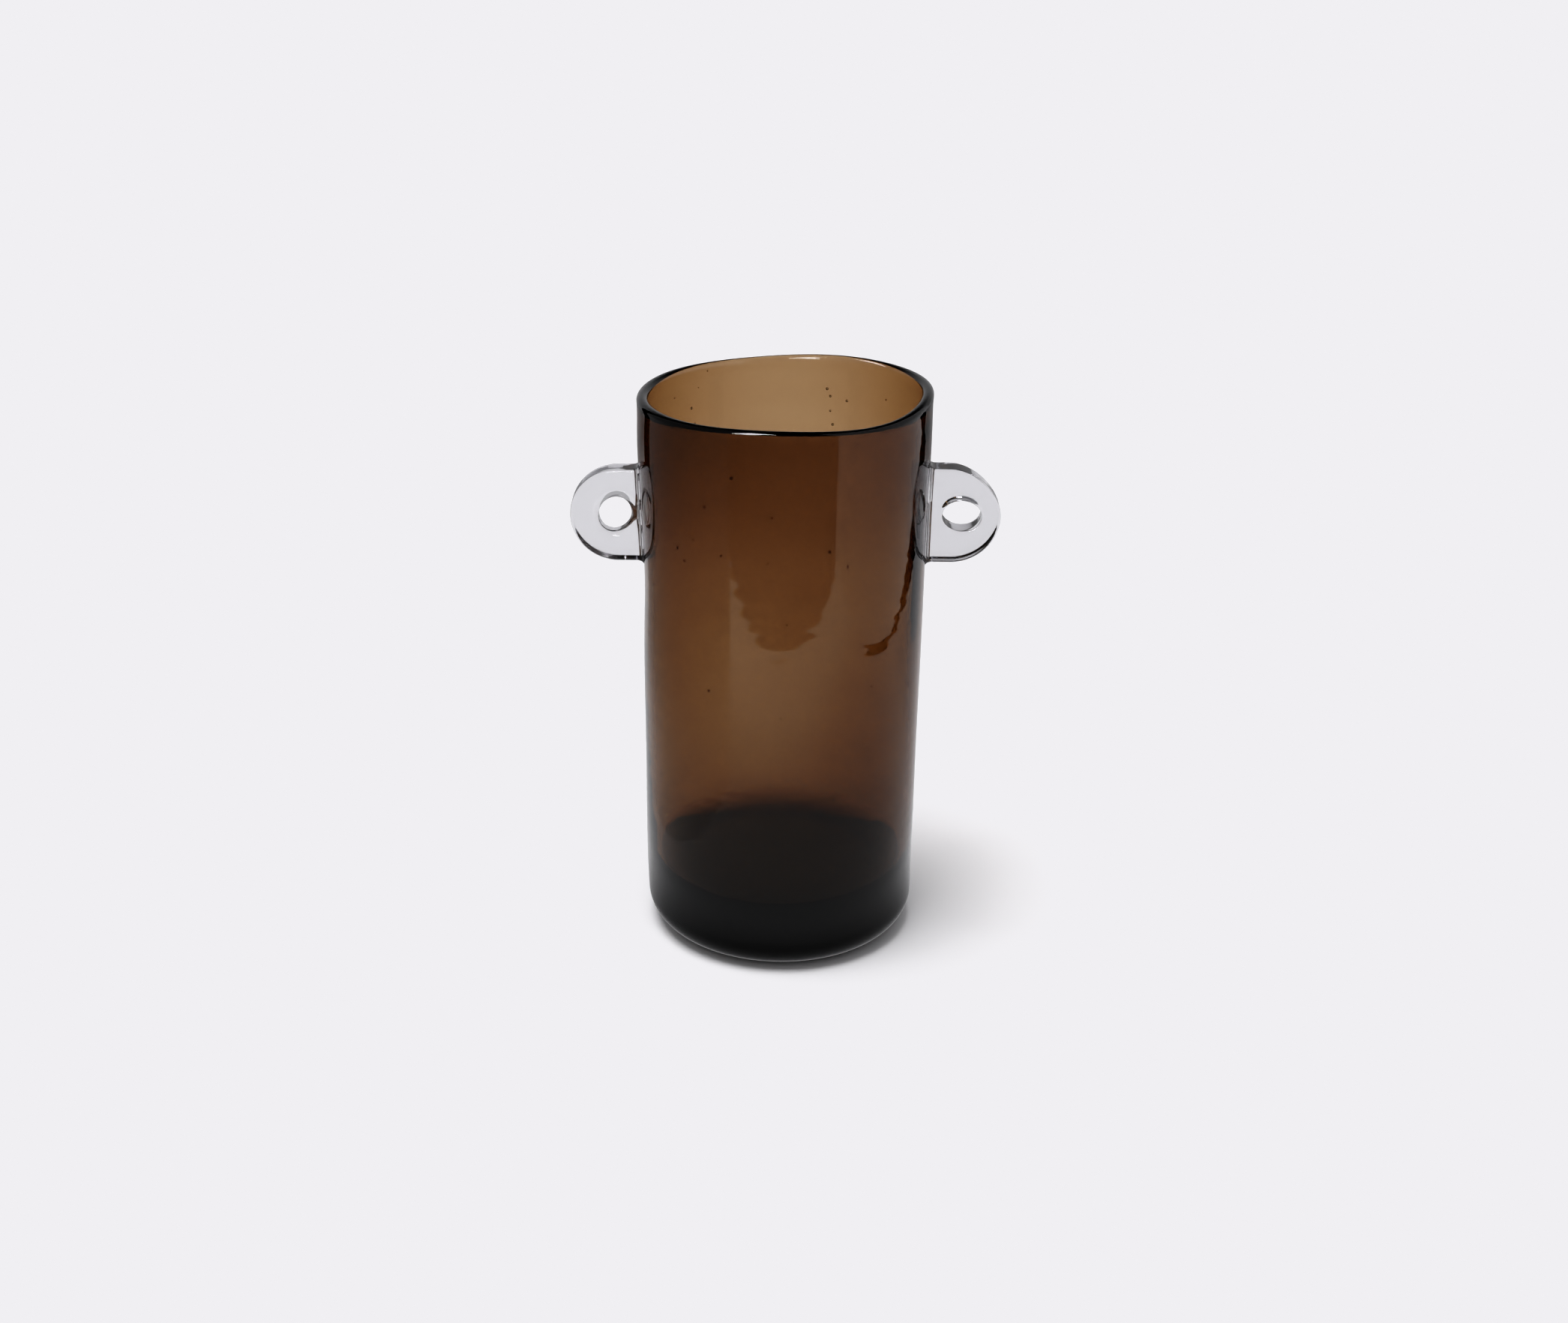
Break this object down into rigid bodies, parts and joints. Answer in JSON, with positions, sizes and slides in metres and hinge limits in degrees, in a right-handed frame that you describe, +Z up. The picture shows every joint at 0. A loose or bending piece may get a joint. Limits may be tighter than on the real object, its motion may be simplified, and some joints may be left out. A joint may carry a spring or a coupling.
{
  "type": "glass cylinder vase",
  "caption": "Tall hand-blown smoky brown glass cylinder vase with a thick foot, a rounded lip and clear glass ring handles fused to its sides near the rim.",
  "frame": {"origin": "centre of the foot, on the surface the vase stands on", "axes": "+Z up along the vase's axis, +X towards the right handle, +Y away from the viewer"},
  "size_m": [0.1867, 0.126, 0.251],
  "materials": {
    "brown_glass": "polished, smoky brown, hand-blown",
    "clear_glass": "polished, clear, hand-shaped"
  },
  "bodies": {
    "root": {"vase_body": "brown_glass", "left_handle": "clear_glass", "right_handle": "clear_glass"}
  },
  "joints": []
}
